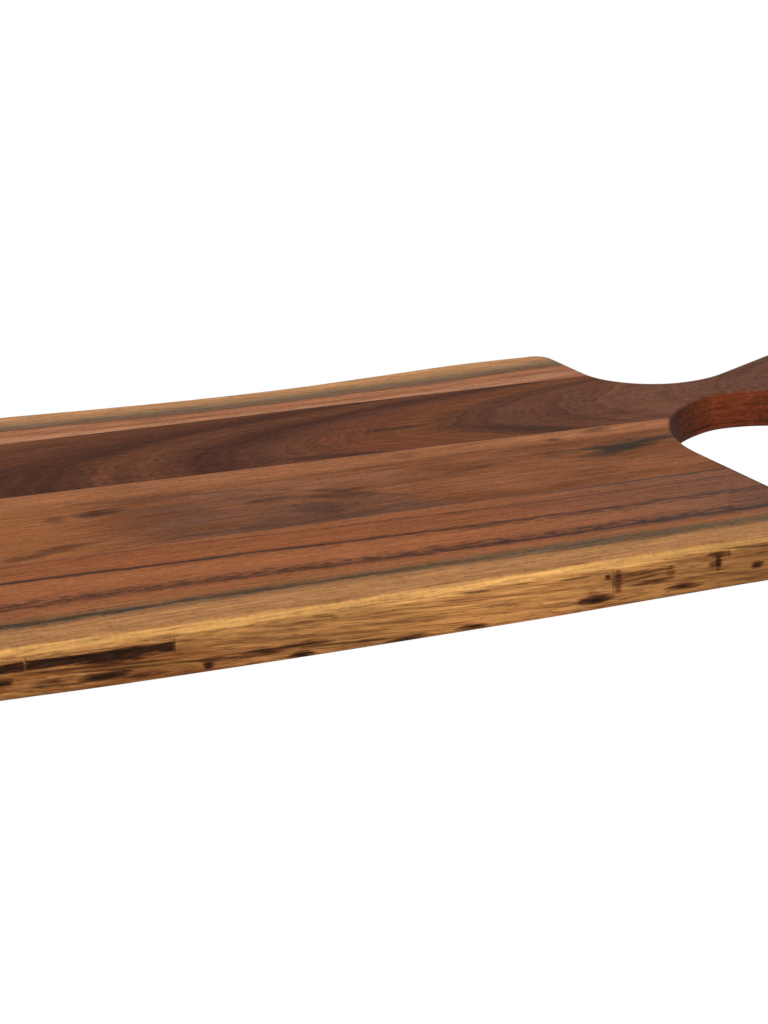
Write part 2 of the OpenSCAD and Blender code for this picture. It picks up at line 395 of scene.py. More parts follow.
def outline_spots(path):
    """The place, the outward direction and both edge radii of each outline point."""
    spots = []
    for i, v in enumerate(path):
        out = outward(path, i)
        top_r = top_ease + live_share(v.co, out) * (live_round - top_ease)
        spots.append((v.co.copy(), out, top_r, under_ease))
    return spots


# %% [markdown]
# The finger hole is a second loop, made as a plain circle. Its wood lies outside it,
# so its outward direction points to its own centre, and it is raised with the same
# rings as the outline. That gives a true through hole with rounded rims, with no
# boolean and no thin slivers.

# %% Raise the whole panel
hole_steps = 128


def raise_rings(bm, spots, order):
    """Extrudes all loops upwards, ring by ring, and gives the last ring's edges."""
    levels = ring_levels()
    for v in bm.verts:
        v.co = ring_point(spots[v[order]], levels[0])
    edges = bm.edges[:]
    for level in levels[1:]:
        made = bmesh.ops.extrude_edge_only(bm, edges=edges)["geom"]
        fresh = {g for g in made if isinstance(g, bmesh.types.BMVert)}
        for v in fresh:
            v.co = ring_point(spots[v[order]], level)
        edges = [g for g in made if isinstance(g, bmesh.types.BMEdge)
                 and g.verts[0] in fresh and g.verts[1] in fresh]
    return edges


def build_panel():
    """The whole board in one closed piece, before it is divided into staves."""
    bm = bmesh.new()
    order = bm.verts.layers.int.new("order")
    first = draw_outline(bm)
    second = next(e.other_vert(first) for e in first.link_edges if e.other_vert(first).co.x > first.co.x)
    path = walk_round(first, second)
    spots = outline_spots(path)
    for i, v in enumerate(path):
        v[order] = i
    hole = bmesh.ops.create_circle(bm, segments=hole_steps, radius=hole_r)["verts"]
    bmesh.ops.translate(bm, verts=hole, vec=(ring_x, handle_y, 0))
    for v in hole:
        v[order] = len(spots)
        inward = (Vector((ring_x, handle_y, 0)) - v.co).normalized()
        spots.append((v.co.copy(), inward, hole_ease, hole_ease))
    under_edges = bm.edges[:]
    top_edges = raise_rings(bm, spots, order)
    for face in bm.faces:
        face.smooth = True
    for edges in (under_edges, top_edges):
        bmesh.ops.triangle_fill(bm, use_beauty=True, use_dissolve=False, edges=edges)
    bmesh.ops.recalc_face_normals(bm, faces=bm.faces[:])
    return bm


panel = build_panel()
print("panel:", len(panel.verts), "points,", len(panel.faces), "faces, volume",
      round(panel.calc_volume() * 1e6, 1), "cm3")
loose = [e for e in panel.edges if len(e.link_faces) != 2]
print("open edges:", len(loose))

# %% [markdown]
# The panel is now sawn along its three glue lines. Each stave is a copy of the panel
# that is bisected on both sides and closed again, so that neighbours fit exactly and
# the rounding runs on from one stave to the next. The cured glue between two staves
# is cut from the panel in the same way, a fifth of a millimetre thick.

# %% Saw a copy of the panel
glue_t = 0.2 * mm
near_joint = (near_joint_y, 4.5 * mm)
middle_joint = (middle_joint_y, 9 * mm)
far_joint = (far_joint_y, 2 * mm)
cheek_x = (near_neck_x + ring_x) / 2


def saw(bm, joint, offset, keep):
    """Cuts along a glue line, and keeps the wood above it (1) or below it (-1)."""
    joint_y, drift = joint
    point = Vector((near_shoulder_x, joint_y + offset, 0))
    across = Vector((drift / body_len, 1, 0)).normalized()
    made = bmesh.ops.bisect_plane(
        bm, geom=bm.verts[:] + bm.edges[:] + bm.faces[:], dist=1e-7, plane_co=point, plane_no=across,
        use_snap_center=False, clear_outer=keep < 0, clear_inner=keep > 0)
    cut_edges = [g for g in made["geom_cut"] if isinstance(g, bmesh.types.BMEdge)]
    sawn = bmesh.ops.holes_fill(bm, edges=cut_edges, sides=0)["faces"]
    for face in sawn:
        face.smooth = False
    return sawn


def sawn_copy(above=None, below=None, part="all"):
    """The wood above one glue line and below another, of the body, the ring or both."""
    bm = panel.copy()
    if above:
        saw(bm, above[0], above[1] * glue_t / 2, 1)
    if below:
        saw(bm, below[0], below[1] * glue_t / 2, -1)
    far_side = {"all": lambda x: False, "body": lambda x: x > cheek_x, "ring": lambda x: x < cheek_x}
    gone = [v for v in bm.verts if far_side[part](v.co.x)]
    bmesh.ops.delete(bm, geom=gone, context="VERTS")
    bmesh.ops.recalc_face_normals(bm, faces=bm.faces[:])
    return bm


pieces = {
    "far_stave": (sawn_copy(above=(far_joint, 1), part="body"), "far_stave_wood"),
    "heart_stave": (sawn_copy(above=(middle_joint, 1), below=(far_joint, -1)), "heart_stave_wood"),
    "middle_stave": (sawn_copy(above=(near_joint, 1), below=(middle_joint, -1), part="body"),
                     "middle_stave_wood"),
    "near_stave": (sawn_copy(below=(near_joint, -1)), "near_stave_wood"),
    "far_ring_cheek": (sawn_copy(above=(far_joint, 1), part="ring"), "far_stave_wood"),
    "near_ring_cheek": (sawn_copy(below=(middle_joint, -1), part="ring"), "middle_stave_wood"),
}
for side, joint in (("far", far_joint), ("middle", middle_joint), ("near", near_joint)):
    pieces[side + "_glue_line"] = (sawn_copy(above=(joint, -1), below=(joint, 1)), "wood_glue")
panel.free()
for name, (bm, slot) in pieces.items():
    rough = sum(len(e.link_faces) != 2 for e in bm.edges)
    print(name, len(bm.faces), "faces,", rough, "open edges,", round(bm.calc_volume() * 1e9), "mm3")

# %% [markdown]
# The live edges get their skin. A trunk under its bark is never quite smooth, so the
# wall is pushed in by a few tenths of a millimetre in long soft waves. On the near
# edge the bark strips, knots and scars are then sunk to their depth, and the strength
# of each flaw is kept as an attribute for the material.

# %% Shape the live edges
skin_depth = 0.35 * mm
skin_length = 24 * mm
skin_height = 7 * mm
skin_from = 0.25
skin_rise = 0.5


def skin_wave(place):
    """How far the trunk's skin dips at a point, from nothing to its full depth."""
    wave = noise.noise(Vector((place.x / skin_length, place.y / skin_length, place.z / skin_height)))
    return skin_depth * (0.5 + 0.5 * wave)


def shape_live_edge(bm, side, flaws=None):
    """Waves one live edge and sinks its flaws. side is -1 for the near edge."""
    strength = bm.verts.layers.float.new("flaw")
    live_from = body_w / 2 - max(far_wane, near_wane) - 2 * mm
    for v in bm.verts:
        if side * v.co.y < live_from or side * v.normal.y < skin_from:
            continue
        skin = min(1.0, (side * v.normal.y - skin_from) / skin_rise)
        sink = skin_wave(v.co) * skin
        if flaws:
            v[strength], depth = flaws(v.co.x, v.co.z)
            # no depth up to a strength of 0.4, and the whole depth from 0.65
            sink += depth * max(0.0, min(1.0, 4 * v[strength] - 1.6))
        v.co.y -= side * sink


shape_live_edge(pieces["near_stave"][0], -1, flaw_at)
shape_live_edge(pieces["far_stave"][0], 1)
print("live edges shaped to", round(skin_depth / mm, 2), "mm")

# %% [markdown]
# Materials come next. All the wood is solid: its colour is worked out at each point in
# space from the Object coordinates, so the figure runs over the rounded edges and down
# the walls as it does in sawn timber. An image would need to be wrapped and would
# show its seam at every edge. The helpers below each add a node or two and give their
# output, and all of them count in millimetres.

# %% Paint and arithmetic
def paint(red, green, blue):
    """A colour from 0 to 255, as on a paint chart, in Blender's linear light."""
    shares = [level / 255 for level in (red, green, blue)]
    linear = [s / 12.92 if s <= 0.04045 else ((s + 0.055) / 1.055) ** 2.4 for s in shares]
    return (*linear, 1.0)


def add_node(kind, *values):
    """A new shader node, in the tree that the given values come from."""
    tree = next(v.id_data for v in values if isinstance(v, bpy.types.NodeSocket))
    return tree.nodes.new("ShaderNode" + kind)


def feed(socket, value):
    """Links an output to a socket, or types a plain value into it."""
    if isinstance(value, bpy.types.NodeSocket):
        socket.id_data.links.new(value, socket)
    else:
        socket.default_value = value


def calc(operation, *values):
    """One step of arithmetic."""
    step = add_node("Math", *values)
    step.operation = operation
    for socket, value in zip(step.inputs, values):
        feed(socket, value)
    return step.outputs[0]


def plus(value, more):
    """The sum of two values."""
    return calc("ADD", value, more)


def minus(value, less):
    """The difference of two values."""
    return calc("SUBTRACT", value, less)


def times(value, *factors):
    """A value multiplied by each factor in turn."""
    for factor in factors:
        value = calc("MULTIPLY", value, factor)
    return value


def squared(value):
    """The square of a value, which may be negative."""
    return calc("POWER", calc("ABSOLUTE", value), 2.0)


def fade(value, start, end):
    """0 up to the start, 1 from the end on, and a soft rise between them."""
    step = add_node("MapRange", value)
    step.interpolation_type = "SMOOTHSTEP"
    feed(step.inputs["Value"], value)
    feed(step.inputs["From Min"], start)
    feed(step.inputs["From Max"], end)
    return step.outputs["Result"]


# %% Layers of colour
def lay_over(base, colour, share, strength=None):
    """Lays one colour over another by a share, at full strength or less."""
    step = add_node("Mix", share)
    step.data_type = "RGBA"
    feed(step.inputs[0], share if strength is None else times(share, strength))
    feed(step.inputs[6], base)
    feed(step.inputs[7], colour)
    return step.outputs[2]


def lay_coats(colour, *coats):
    """Lays coats over a colour in turn: (colour, share) or (colour, share, strength)."""
    for coat in coats:
        colour = lay_over(colour, *coat)
    return colour


def shade(base, level):
    """Makes a colour darker or lighter by a factor."""
    step = add_node("VectorMath", base)
    step.operation = "SCALE"
    feed(step.inputs[0], base)
    feed(step.inputs["Scale"], level)
    return step.outputs[0]


def colour_chart(value, stops):
    """A smooth colour for each value along a list of (value, red, green, blue) stops."""
    low, high = stops[0][0], stops[-1][0]
    step = add_node("ValToRGB", value)
    feed(step.inputs[0], calc("DIVIDE", minus(value, low), high - low))
    band = step.color_ramp
    band.elements[0].color = paint(*stops[0][1:])
    band.elements[1].color = paint(*stops[-1][1:])
    for at, *colour in stops[1:-1]:
        band.elements.new((at - low) / (high - low)).color = paint(*colour)
    return step.outputs["Color"]


# %% Streaks and stains
blot_rim = 1.35
blot_core = 0.45


def streaks(place, size, seed, detail=3.0):
    """Soft noise drawn out along the grain. The size is its patches' length and width."""
    length, width = size
    stretch = add_node("VectorMath", place)
    stretch.operation = "MULTIPLY_ADD"
    feed(stretch.inputs[0], place)
    stretch.inputs[1].default_value = (1 / length, 1 / width, 1 / width)
    stretch.inputs[2].default_value = (seed, seed, seed)
    step = add_node("TexNoise", place)
    step.inputs["Scale"].default_value = 1.0
    step.inputs["Detail"].default_value = detail
    feed(step.inputs["Vector"], stretch.outputs[0])
    return step.outputs[0]


def patches(place, size, seed, start, end, detail=3.0):
    """Streaks with clear gaps: 0 where the noise is under the start, 1 over the end."""
    return fade(streaks(place, size, seed, detail), start, end)


def centred(value, reach):
    """Turns noise between 0 and 1 into a wander of up to this reach both ways."""
    return times(minus(value, 0.5), 2 * reach)


def wander(place, size, seed, reach, detail=3.0):
    """Streaks as a wander of up to this reach both ways."""
    return centred(streaks(place, size, seed, detail), reach)


def blot(across, up, spot, ragged):
    """An oval stain: spot is (across, up, half length, half width, tilt)."""
    at_across, at_up, half_len, half_wid, tilt = spot
    run = minus(across, at_across)
    rise = minus(minus(up, at_up), times(run, tilt))
    run = squared(calc("DIVIDE", run, half_len))
    rise = squared(calc("DIVIDE", rise, half_wid))
    return fade(plus(calc("SQRT", plus(run, rise)), ragged), blot_rim, blot_core)


print("helpers ready")

# %% [markdown]
# Every wood finish starts from the same grain. Fibres are hair-thin streaks a few
# centimetres long, pores are short dark dashes, flecks are a fine mottle that only the
# flat faces show, and a slow cloud makes one board part darker than another. Across the
# grain, on the ends and where the sweep of the handle cuts the fibres, the oil soaks in
# deeper and the wood turns dark and red.

# %% The grain that all four staves share
fibre_size = (20, 0.8)
line_size = (48, 1.9)
pore_size = (6, 0.7)
fleck_size = (1.7, 3.1)
cloud_size = (90, 26)
fleck_depth = 0.30
cloud_depth = 0.10
pore_depth = 0.26
oil_roughness = 0.55
oil_shine = 0.012
relief_strength = 0.35
relief_depth = 0.08 * mm


def start_wood(name):
    """A new material, and the place of each point in millimetres, whole and in parts."""
    material = bpy.data.materials.new(name)
    material.use_nodes = True
    source = material.node_tree.nodes.new("ShaderNodeTexCoord")
    # a place is scaled by the same step as a colour
    in_mm = shade(source.outputs["Object"], 1 / mm)
    parts = add_node("SeparateXYZ", in_mm)
    feed(parts.inputs[0], in_mm)
    return material, in_mm, parts.outputs


def facing(place, axis):
    """How far the surface faces along an axis, from 0 to 1."""
    parts = add_node("SeparateXYZ", place)
    feed(parts.inputs[0], add_node("TexCoord", place).outputs["Normal"])
    return calc("ABSOLUTE", parts.outputs[axis])


def finish_wood(material, place, colour, cut_colour, cut_share, seed, fibre_depth=0.75):
    """Adds fibres, pores, dark cut ends and the satin of oil to a colour."""
    fibres = streaks(place, fibre_size, seed, detail=5.0)
    pores = patches(place, pore_size, seed + 3, 0.56, 0.66, detail=2.0)
    flecks = wander(place, fleck_size, seed + 5, fleck_depth, detail=5.0)
    colour = lay_over(colour, paint(*cut_colour), fade(facing(place, "X"), 0.12, 0.75), cut_share)
    level = plus(1.0, centred(fibres, fibre_depth))
    level = plus(level, wander(place, line_size, seed + 7, fibre_depth * 0.6))
    level = plus(level, wander(place, cloud_size, seed + 11, cloud_depth, detail=2.0))
    level = plus(level, times(flecks, facing(place, "Z")))
    level = minus(level, times(pores, pore_depth))
    satin = plus(oil_roughness, centred(fibres, 0.10))
    relief = add_node("Bump", place)
    relief.inputs["Strength"].default_value = relief_strength
    relief.inputs["Distance"].default_value = relief_depth
    feed(relief.inputs["Height"], minus(fibres, pores))
    shader = material.node_tree.nodes["Principled BSDF"]
    shader.inputs["Specular IOR Level"].default_value = oil_shine
    feed(shader.inputs["Base Color"], shade(colour, level))
    feed(shader.inputs["Roughness"], plus(satin, times(pores, 0.15)))
    feed(shader.inputs["Normal"], relief.outputs[0])
    print(material.name, "has", len(material.node_tree.nodes), "nodes")
    return material


print("grain ready")

# %% [markdown]
# The dark stave is flat-sawn walnut, cut near the top of a growth cone, so its rings
# show as nested arches that open towards the handle. Each arch is known by the place of
# its tip. The arms of an outer arch run on from there by the fourth power of the
# distance from the board's middle, those of an inner one by the square of the distance
# from the arches' own axis, and the one grows into the other. A chart of browns along
# the tips gives the dark and the light arches, and streaks along them give fine lines.

# %% Places of the arches
outer_fall = 167
inner_axis = 48
inner_fall = 0.042
inner_opening = 0.017
heart_arches = [
    (-420, 118, 72, 46), (-330, 108, 63, 39), (-262, 97, 55, 34), (-240, 84, 46, 28),
    (-224, 80, 43, 27), (-206, 78, 42, 26), (-190, 101, 58, 37), (-165, 107, 63, 40),
    (-150, 90, 50, 32), (-142, 80, 44, 28), (-132, 74, 39, 25), (-122, 84, 47, 30),
    (-112, 92, 54, 37), (-96, 107, 62, 40), (-70, 116, 65, 40), (-45, 115, 65, 38),
    (-24, 121, 70, 40), (-13, 101, 59, 37), (-4, 90, 53, 35), (5, 97, 57, 38),
    (11, 86, 51, 35), (13, 102, 62, 43), (30, 107, 63, 43), (46, 102, 60, 41),
    (50, 84, 51, 36), (53, 109, 67, 47), (72, 109, 66, 46), (76, 116, 71, 51),
    (110, 113, 71, 52), (150, 105, 66, 49), (240, 100, 61, 46), (320, 98, 57, 42),
]


def arch_measure(x, y):
    """The place where the arch through a point has its tip."""
    climb = calc("POWER", times(calc("ABSOLUTE", y), 0.01), 4.0)
    outer = minus(x, times(climb, outer_fall))
    off = squared(minus(y, inner_axis))
    inner = minus(x, times(off, inner_fall))
    opened = times(fade(inner, 8, 45), inner_opening)
    inner = plus(inner, times(off, opened))
    return plus(outer, times(minus(inner, outer), fade(outer, -112, -40)))


def ring_lines(place, measure, spacing, depth, seed):
    """A brightness that dips at every ring of a measure, here more and there less."""
    wave = calc("SINE", times(measure, 2 * math.pi / spacing))
    line = calc("POWER", calc("MULTIPLY_ADD", wave, 0.5, 0.5), 3.0)
    strength = patches(place, (50, 14), seed, 0.35, 0.65)
    return minus(1.0 + depth * 0.2, times(line, strength, depth))


# %% Sawn wall of the handle
handle_red = paint(132, 61, 34)
handle_streak = paint(60, 31, 22)
handle_highlight_red = paint(156, 78, 42)
shoulder_brown = paint(54, 40, 34)


def handle_wall(colour, x, y, z, flat):
    """Lays the sawn wall of the sweep and the neck over a colour: deep red, level streaks, and lighter
    red streaks that are partly the wood's tone and partly painted highlights.
    """
    level = add_node("CombineXYZ", x)
    feed(level.inputs["X"], plus(x, times(y, 0.6)))
    feed(level.inputs["Z"], z)
    place = level.outputs[0]
    low = fade(z, 10.5, 7.5)
    dark = patches(place, (70, 2.4), 33, 0.38, 0.66, detail=4.0)
    dark = times(dark, calc("MULTIPLY_ADD", low, 0.45, 0.55))
    dark = calc("MAXIMUM", dark, times(low, 0.30))
    # lighter red streaks: partly the wood's own tone, partly painted highlights of the glossy wall
    highlight_streaks = patches(place, (26, 3.4), 35, 0.50, 0.72)
    wall = lay_coats(
        handle_red, (handle_streak, dark), (handle_highlight_red, highlight_streaks, 0.45),
        (shoulder_brown, fade(x, 124, 90), 0.85))
    return lay_over(colour, wall, fade(flat, 0.85, 0.35), 0.9)


# %% Heart stave finish
arch_brown = paint(62, 38, 30)
# place along and across, half length, half width, tilt
arch_stains = {
    "specks": (-36, 53.5, 17, 3.2, 0),
    "foot of the eye": (-78, 24, 26, 3.4, -0.18),
    "foot of the arch": (20, 29, 24, 6, -0.6),
}


def heart_finish():
    """Dark walnut with arched figure."""
    material, place, (x, y, z) = start_wood("dark_arched_walnut")
    tip = arch_measure(x, plus(y, calc("MULTIPLY_ADD", z, 0.2, -3.8)))
    tip = plus(tip, wander(place, (50, 18), 2, 9))
    tip = plus(tip, wander(place, (16, 4), 5, 5))
    colour = colour_chart(tip, heart_arches)
    rings = ring_lines(place, tip, 5.5, 0.32, 15)
    colour = shade(colour, calc("MAXIMUM", rings, fade(tip, 50, 95)))
    along_arch = add_node("CombineXYZ", tip)
    feed(along_arch.inputs["X"], y)
    feed(along_arch.inputs["Y"], tip)
    arch_lines = wander(along_arch.outputs[0], (60, 5.0), 18, 0.62, detail=4.0)
    colour = shade(colour, plus(arch_lines, 1.0))
    ragged = wander(place, (7, 2), 9, 0.9)
    specks, eye_foot, arch_foot = (blot(x, y, spot, ragged) for spot in arch_stains.values())
    stain = calc("MAXIMUM", specks, calc("MAXIMUM", eye_foot, arch_foot))
    colour = lay_over(colour, arch_brown, stain, 0.65)
    colour = handle_wall(colour, x, y, z, facing(place, "Z"))
    return finish_wood(material, place, colour, (66, 37, 27), 0.7, seed=1)


heart_wood = heart_finish()

# %% [markdown]
# A live edge is the trunk's own skin: honey, with a painted highlight along the ridge,
# browner below, with long thin streaks that slant a little. The near and the far stave
# share this finish, and each has its own seed.

# %% Skin of the live edges
honey = paint(188, 132, 76)
honey_shade = paint(148, 98, 57)
hair_brown = paint(98, 58, 36)
scar_brown = paint(104, 64, 42)
ridge_shade = paint(138, 88, 50)
# the colour of the painted highlight along the rounded ridge
ridge_highlight = paint(221, 165, 96)
foot_red = paint(126, 68, 32)
end_brown = paint(96, 60, 38)
skin_slant = -4


def live_wall(place, x, z, seed):
    """The colour of a live edge under its bark, with a painted highlight along its ridge."""
    slant = add_node("Mapping", place)
    slant.inputs["Rotation"].default_value = (0, math.radians(skin_slant), 0)
    feed(slant.inputs["Vector"], place)
    skin = slant.outputs[0]
    brown = patches(skin, (70, 1.5), seed, 0.38, 0.66)
    thin = patches(skin, (26, 0.4), seed + 2, 0.53, 0.61, detail=4.0)
    scar = patches(skin, (15, 2.6), seed + 4, 0.60, 0.72, detail=4.0)
    under_ridge = patches(skin, (24, 2.4), seed + 8, 0.38, 0.60, detail=4.0)
    under_ridge = times(fade(z, 11.5, 13.5), fade(x, -165, -115), under_ridge)
    # painted highlight: the top of the wall is lighter along the rounded ridge
    ridge = fade(plus(z, centred(brown, 0.9)), 15.0, 16.6)
    mottle = patches(skin, (18, 3.2), seed + 6, 0.36, 0.62, detail=4.0)
    foot = times(fade(z, 14, 8), fade(x, -165, -225), calc("MULTIPLY_ADD", mottle, 0.5, 0.12))
    colour = lay_coats(
        honey, (honey_shade, brown, 0.8), (hair_brown, thin, 0.6), (scar_brown, scar, 0.6),
        (ridge_shade, under_ridge, 0.42), (ridge_highlight, ridge, 0.86), (foot_red, foot),
        (end_brown, fade(x, -30, 45), 0.40))
    pale = times(fade(x, -150, -100), fade(x, -20, -70))
    return shade(colour, calc("MULTIPLY_ADD", pale, 0.28, 1.0))


print("skin ready")

# %% [markdown]
# The near stave is striped: red heartwood with thin dark lines, then an olive band
# where heart and sapwood meet, then honey sapwood out to the live edge. The stripes
# run along the board and drift together, so a chart of colours across the board is
# read at a place that is shifted by that drift.

# %% Stripes and dark threads of the near stave
near_stripes = [
    (-158, 192, 137, 82), (-154, 190, 135, 83), (-151.5, 183, 128, 81), (-148, 181, 127, 81),
    (-144, 184, 130, 82), (-139, 189, 134, 84), (-135, 163, 113, 74), (-132, 140, 103, 67),
    (-129, 138, 94, 58), (-126, 157, 99, 61), (-122, 160, 98, 62), (-116, 140, 82, 51),
    (-111, 162, 98, 61), (-105, 164, 99, 61), (-99, 167, 103, 63), (-93, 152, 89, 54),
    (-88, 153, 91, 55), (-82, 147, 86, 52), (-76, 150, 88, 54), (-70, 157, 95, 58),
    (-64, 152, 92, 58), (-58, 156, 96, 60),
]
# place across the board, half width, strength at the left and at the right, raggedness
dark_threads = {
    "line by the joint": (-64.3, 1.3, -2, 1, 1),
    "fine line": (-75, 1, 0.30, 0.50, 0.9),
    "strong line": (-93.6, 1.3, 0.95, 0.55, 1.2),
    "haze of the strong line": (-95.2, 3.5, 0.10, 0.95, 2.4),
    "mottled line": (-117.3, 1.2, 0.30, 1, 1.2),
    "mottled haze": (-114.8, 4.4, 0.75, 1, 3.2),
    "edge of the heart": (-131.2, 1.8, 0.95, 0.30, 2.8),
}
haze_from = 2.5
olive_reach = 131
thread_brown = paint(60, 42, 36)
heart_edge_brown = paint(60, 50, 40)
olive = paint(104, 84, 64)


def draw_threads(colour, place, x, across):
    """Lays the dark threads and the olive band over the stripes."""
    wisps = wander(place, (9, 1.4), 17, 1.0, detail=4.0)
    rightward = fade(x, -250, 60)
    broken = patches(place, (7, 1.6), 27, 0.38, 0.60, detail=4.0)
    for name, (at, half, left_strength, right_strength, rough) in dark_threads.items():
        off = plus(calc("ABSOLUTE", minus(across, at)), times(wisps, rough))
        gain = calc("MULTIPLY_ADD", rightward, right_strength - left_strength, left_strength)
        gain = calc("MAXIMUM", gain, 0.0)
        thread = times(fade(off, half * 1.5, half * 0.2), gain, broken if half > haze_from else 1.0)
        brown = heart_edge_brown if name == "edge of the heart" else thread_brown
        colour = lay_over(colour, brown, thread)
    band = fade(calc("ABSOLUTE", plus(across, olive_reach)), 5.5, 3)
    band = times(band, calc("MAXIMUM", fade(x, -150, -40), 0.22))
    stipple = patches(place, (1.3, 1.9), 28, 0.42, 0.60)
    return lay_over(colour, olive, band, calc("MULTIPLY_ADD", stipple, 0.6, 0.42))


# %% Bark, scars and hair lines of the near edge
# place along and up, half length, half width, tilt
hair_lines = {
    "split": (-40.2, 10.9, 0.25, 3.8, 0),
    "left tick": (-272.6, 12.6, 0.22, 2.4, 0),
    "right tick": (-218.6, 12.2, 0.22, 2.4, 0),
    "ridge line": (21.5, 15.8, 9.5, 0.35, -0.06),
    "left ridge line": (-98, 15.2, 5.5, 0.3, -0.06),
    "middle ridge line": (-57, 14.5, 5.5, 0.3, 0),
    "cross tick": (12.9, 14.6, 0.22, 1.4, 0),
    "long fine line": (-208.5, 5.2, 12.5, 0.4, -0.05),
    "line under the bark": (-246, 8.4, 22, 0.45, -0.04),
    "line above the leaf": (-238, 6.6, 18, 0.4, -0.05),
    "line through the lens": (-176, 5.4, 20, 0.4, -0.02),
    "line to the low patch": (-152, 3.4, 18, 0.4, -0.05),
    "low line": (-262, 3.6, 9, 0.4, -0.05),
    "line in the worm work": (-27, 10.4, 9, 0.4, 0.05),
}
flaw_halo = paint(106, 62, 36)
bark_dark = paint(34, 22, 18)
bark_crust = paint(84, 50, 34)


def darken_flaws(colour, place, x, z, on_wall, ragged):
    """Turns the flaws and hair lines of the near edge dark, each flaw with a brown halo."""
    attribute = add_node("Attribute", place)
    attribute.attribute_name = "flaw"
    flaw = attribute.outputs["Fac"]
    feather = wander(place, (12, 0.7), 12, 0.78, detail=5.0)
    edge = plus(flaw, times(feather, fade(flaw, 0.05, 0.35)))
    colour = lay_over(colour, flaw_halo, fade(edge, 0.10, 0.46), 0.78)
    dark = fade(edge, 0.34, 0.82)
    for line in hair_lines.values():
        hair = times(blot(x, z, line, centred(ragged, 0.3)), on_wall)
        dark = calc("MAXIMUM", dark, times(hair, 0.7))
    crust = patches(place, (7, 1.1), 14, 0.40, 0.70, detail=4.0)
    return lay_over(colour, lay_over(bark_dark, bark_crust, crust, 0.4), dark, 0.92)


# %% Near stave finish
sap_shade = paint(158, 106, 60)
deep_red = paint(112, 62, 44)
greyed_red = paint(98, 77, 70)


def near_finish():
    """Striped red heartwood, sapwood and the skin of the near live edge."""
    material, place, (x, y, z) = start_wood("striped_red_wood")
    leftward = times(fade(x, 20, -300), 14)
    inward = calc("MINIMUM", calc("DIVIDE", plus(y, 155), 80), 1.0)
    across = minus(y, times(leftward, inward))
    across = plus(across, wander(place, (120, 30), 3, 2.2))
    across = plus(across, wander(place, (14, 3), 6, 0.9))
    colour = colour_chart(across, near_stripes)
    colour = draw_threads(colour, place, x, across)
    sap_mottle = patches(place, (9, 4.5), 24, 0.44, 0.62, detail=5.0)
    ragged = wander(place, (12, 3), 8, 0.8)
    grey_end = times(fade(x, -90, 60), fade(y, -128, -118))
    on_wall = times(fade(facing(place, "Z"), 0.98, 0.84), fade(y, -142, -147))
    colour = lay_coats(
        colour, (sap_shade, times(sap_mottle, fade(y, -132, -136)), 0.30),
        (deep_red, blot(x, y, (58, -105, 26, 9, 0.0), ragged), 0.5), (greyed_red, grey_end, 0.44),
        (live_wall(place, x, z, 20), on_wall))
    colour = darken_flaws(colour, place, x, z, on_wall, ragged)
    return finish_wood(material, place, colour, (130, 76, 46), 0.6, seed=30, fibre_depth=0.58)


near_wood = near_finish()

# %% [markdown]
# The middle stave is a plain brown board with smoke in it: dark mineral stains that
# spread from small knots. They are ovals with ragged rims, laid over a warm brown
# whose rings swirl round them. A faint line bows over the widest stain.

# %% Stains of the middle stave
# place along and across, half length, half width, tilt, strength
smoke_stains = {
    "left knot": (-200, -12, 11, 5, 0, 0.8),
    "beside the left knot": (-219, -13, 5, 4, 0, 0.5),
    "dark heart of the cloud": (-99, -30, 14, 9, 0, 0.60),
    "below it": (-113, -44, 13, 10, 0, 0.42),
    "foot of the cloud": (-122, -57, 34, 8, 0, 0.40),
    "small knot in the cloud": (-130, -24, 12, 3, 0.1, 0.5),
    "right knot": (43, -16.5, 20, 8, 0.15, 1),
    "core of the right knot": (47, -16, 11, 4, 0.22, 0.7),
    "tail to the sweep": (66, -11, 16, 4, 0.15, 0.85),
    "speck": (22, 6, 5, 2.5, 0, 0.7),
    "specks at the joint": (48, 12, 8, 3.5, 0.1, 0.6),
    "faint stain": (12, -14, 10, 7, 0, 0.35),
    "faint stain at the joint": (-50, 12, 8, 4, 0, 0.3),
    "lower left streak": (-236, -53, 24, 4, 0.25, 0.6),
}
smoke_brown = paint(110, 75, 60)
bow_brown = paint(92, 62, 44)
bow_bend = 0.0045


def smoke_under_bow(colour, place, x, y):
    """Lays the widest stain and the faint line that bows over it on a colour."""
    run = plus(x, 170)
    drop = times(run, calc("ABSOLUTE", run), bow_bend)
    under_bow = minus(minus(0, drop), y)
    smoke = times(fade(under_bow, -2, 16), fade(x, -208, -168))
    smoke = times(smoke, patches(place, (34, 12), 47, 0.25, 0.6))
    colour = lay_over(colour, smoke_brown, smoke, 0.66)
    bow_line = fade(calc("ABSOLUTE", minus(under_bow, 2)), 3.0, 0.5)
    bow_line = times(bow_line, times(fade(x, -215, -190), fade(x, -60, -80)))
    return lay_over(colour, bow_brown, bow_line, 0.45)


# %% Middle stave finish
warm_brown = paint(122, 72, 42)
pale_brown = paint(147, 91, 57)
left_orange = paint(164, 101, 58)
upper_tan = paint(170, 109, 71)
sweep_tan = paint(186, 120, 80)
sheen_pink = paint(172, 122, 94)
left_stain = paint(62, 38, 28)
right_stain = paint(60, 47, 36)


